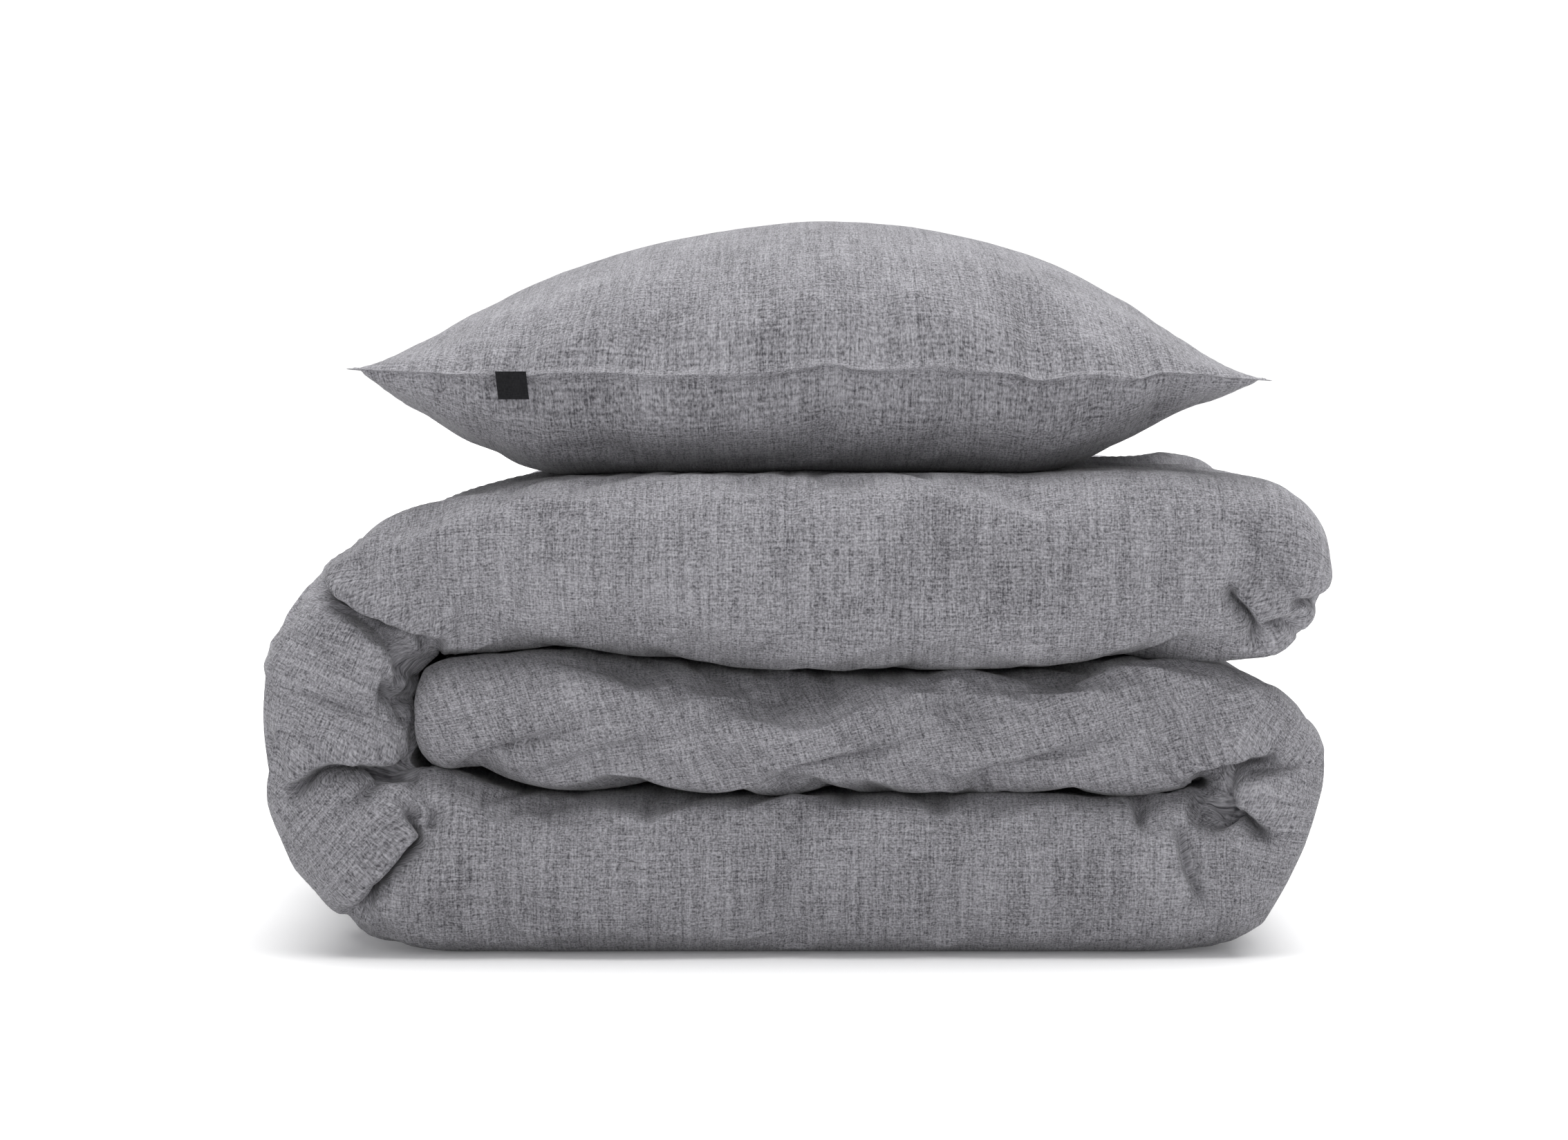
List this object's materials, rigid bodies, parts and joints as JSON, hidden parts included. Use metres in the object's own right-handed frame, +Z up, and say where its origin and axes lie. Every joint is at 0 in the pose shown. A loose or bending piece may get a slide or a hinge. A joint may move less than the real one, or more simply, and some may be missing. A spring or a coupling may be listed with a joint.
{
  "type": "folded duvet with pillow",
  "caption": "Filled duvet in a grey melange cotton cover, folded in thirds like a letter, with a matching pillow resting on top.",
  "frame": {"origin": "on the floor under the middle of the folded duvet, at the bottom centre of the whole object's box", "axes": "+X to the right along the folded duvet's long side, +Y to the back where the side seams are, +Z up"},
  "size_m": [0.764, 0.69, 0.5301],
  "materials": {
    "melange_cotton": "plain-woven yarn-dyed cotton, mid grey with pale and dark slubs, matt",
    "cotton_ticking": "close-woven white cotton, matt",
    "wadding": "white hollow-fibre filling",
    "button_resin": "dark grey resin, satin",
    "label_tape": "plain black woven tape"
  },
  "bodies": {
    "duvet": {"cover_outer_panel": "melange_cotton", "cover_inner_panel": "melange_cotton", "cover_button_hem": "melange_cotton", "cover_button_outer_1": "button_resin", "cover_button_outer_2": "button_resin", "cover_button_outer_3": "button_resin", "cover_button_inner_1": "button_resin", "cover_button_inner_2": "button_resin", "cover_button_inner_3": "button_resin", "insert_outer_ticking": "cotton_ticking", "insert_inner_ticking": "cotton_ticking", "insert_filling": "wadding"},
    "pillow": {"pillowcase_upper_panel": "melange_cotton", "pillowcase_lower_panel": "melange_cotton", "pillowcase_tuck_flap": "melange_cotton", "pillow_upper_ticking": "cotton_ticking", "pillow_lower_ticking": "cotton_ticking", "pillow_filling": "wadding"},
    "label": {"pillow_label": "label_tape"}
  },
  "joints": [
    {"name": "pillow_lift", "type": "slide", "parent": "duvet", "child": "pillow", "axis": [0, 0, 1], "range_m": [0, 0.3]},
    {"name": "label_flip", "type": "hinge", "parent": "pillow", "child": "label", "pos_m": [-0.202, -0.3021, 0.4161], "axis": [-1, 0, 0], "range_deg": [0, 150]}
  ]
}
